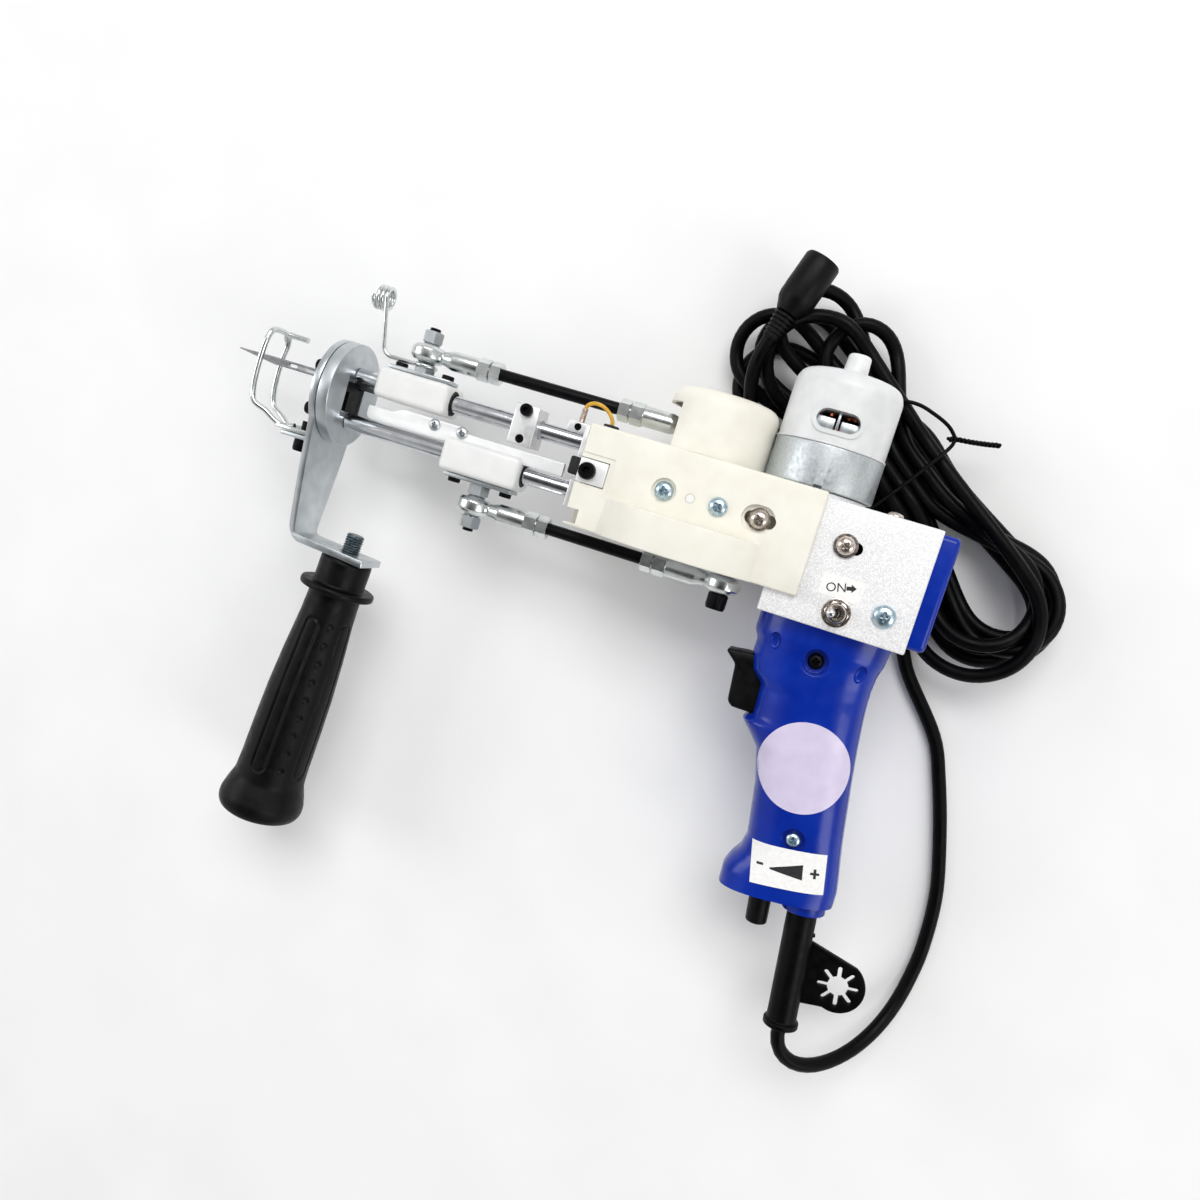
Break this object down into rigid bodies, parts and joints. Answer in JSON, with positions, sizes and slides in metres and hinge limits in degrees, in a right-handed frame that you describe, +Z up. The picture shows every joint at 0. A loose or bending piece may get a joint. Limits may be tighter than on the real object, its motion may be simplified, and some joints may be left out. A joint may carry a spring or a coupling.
{
  "type": "handheld tufting machine",
  "caption": "Handheld electric tufting machine lying on its side, with a reciprocating needle and cutter, bent front handle, trigger grip and a tied hank of mains cord.",
  "frame": {"origin": "middle of the bottom of the machine's bounding box as it lies, cord left out, on the surface it lies on", "axes": "+X from the needle back to the rear cover, along the guide rods; +Y from the grip to the motor cap, along the crankshaft; +Z up, out of the machine's left side"},
  "size_m": [0.383, 0.3284, 0.0834],
  "materials": {
    "nylon_ivory": "ivory moulded nylon",
    "acetal_white": "machined white acetal",
    "cap_white": "translucent white cap",
    "blue_plastic": "glossy blue moulded plastic",
    "black_plastic": "black moulded plastic",
    "black_rubber": "black flexible PVC or rubber",
    "black_oxide": "black oxide steel",
    "steel": "bright steel",
    "zinc": "zinc-plated steel",
    "aluminium": "sand-blasted aluminium",
    "chrome": "chromed steel",
    "copper": "laminated core with copper windings",
    "brass": "brass",
    "yellow_wire": "yellow wire insulation"
  },
  "bodies": {
    "frame": {"box_screw_rear": "steel", "box_screw_slot": "steel", "buffer_pad": "black_rubber", "cord_hank": "black_rubber", "crank_cover": "nylon_ivory", "earth_wire": "yellow_wire", "foot_screw": "black_oxide", "front_disc": "zinc", "front_handle": "black_plastic", "front_plate": "aluminium", "gearbox_frame": "aluminium", "grip_left": "blue_plastic", "grip_right": "blue_plastic", "grip_screw_lower": "black_oxide", "grip_screw_upper": "black_oxide", "guide_rod_lower": "chrome", "guide_rod_upper": "chrome", "handle_bracket": "zinc", "housing_left": "nylon_ivory", "housing_right": "nylon_ivory", "housing_screw_front": "steel", "housing_screw_middle": "steel", "housing_screw_slot": "steel", "lower_bearing": "steel", "motor_can": "zinc", "motor_cap": "cap_white", "plug": "black_plastic", "power_cord": "black_rubber", "presser_foot": "chrome", "rear_cover": "blue_plastic", "rod_clamp_block": "steel", "speed_pot": "zinc", "stop_block": "aluminium", "strain_relief": "black_rubber", "toggle_switch": "steel", "trigger_switch": "black_plastic", "upper_bearing": "steel", "wire_tie": "black_plastic"},
    "crank": {"crankshaft": "steel", "drive_gear": "steel", "upper_crank": "steel", "lower_crank": "steel"},
    "rotor": {"motor_rotor": "copper", "pinion": "brass"},
    "needle_slide": {"upper_slider": "acetal_white", "upper_slider_plate": "zinc", "needle": "steel", "yarn_guide": "chrome"},
    "needle_rod": {"upper_rod_front_end": "chrome", "upper_tie_rod": "black_oxide", "upper_rod_rear_end": "chrome"},
    "cutter_slide": {"lower_slider": "acetal_white", "lower_slider_plate": "zinc", "cutter_bar": "steel"},
    "cutter_rod": {"lower_rod_front_end": "chrome", "lower_tie_rod": "black_oxide", "lower_rod_rear_end": "chrome"},
    "trigger": {"trigger": "black_plastic"},
    "toggle_lever": {"toggle_lever": "chrome"},
    "speed_knob": {"speed_knob": "black_plastic"}
  },
  "joints": [
    {"name": "crank_turn", "type": "hinge", "parent": "frame", "child": "crank", "pos_m": [0.04666, 0.05865, 0.0417], "axis": [0, 1, 0], "continuous": true},
    {"name": "rotor_turn", "type": "hinge", "parent": "frame", "child": "rotor", "pos_m": [0.09166, 0.05865, 0.0417], "axis": [0, 1, 0], "continuous": true},
    {"name": "needle_slide", "type": "slide", "parent": "frame", "child": "needle_slide", "axis": [1, 0, 0], "range_m": [0, 0.016]},
    {"name": "needle_rod_swing", "type": "hinge", "parent": "needle_slide", "child": "needle_rod", "pos_m": [-0.08554, 0.08955, 0.0417], "axis": [0, 1, 0], "range_deg": [-3.7, 3.7]},
    {"name": "cutter_slide", "type": "slide", "parent": "frame", "child": "cutter_slide", "axis": [1, 0, 0], "range_m": [-0.03965, 0]},
    {"name": "cutter_rod_swing", "type": "hinge", "parent": "cutter_slide", "child": "cutter_rod", "pos_m": [-0.04634, 0.03245, 0.0417], "axis": [0, 1, 0], "range_deg": [-10, 10]},
    {"name": "trigger_press", "type": "slide", "parent": "frame", "child": "trigger", "axis": [1, 0, 0], "range_m": [0, 0.004], "stiffness_N_per_m": 700, "springref_m": -0.003},
    {"name": "toggle_tip", "type": "hinge", "parent": "frame", "child": "toggle_lever", "pos_m": [0.11316, 0.03645, 0.0695], "axis": [0, 1, 0], "range_deg": [0, 24]},
    {"name": "speed_turn", "type": "hinge", "parent": "frame", "child": "speed_knob", "pos_m": [0.12045, -0.08236, 0.0417], "axis": [0.1219, -0.9925, 0], "range_deg": [0, 300]}
  ],
  "couplings": [
    {"joint": "rotor_turn", "follows": "crank_turn", "ratio": -5.4286},
    {"joint": "cutter_slide", "follows": "needle_slide", "ratio": -2.475}
  ]
}
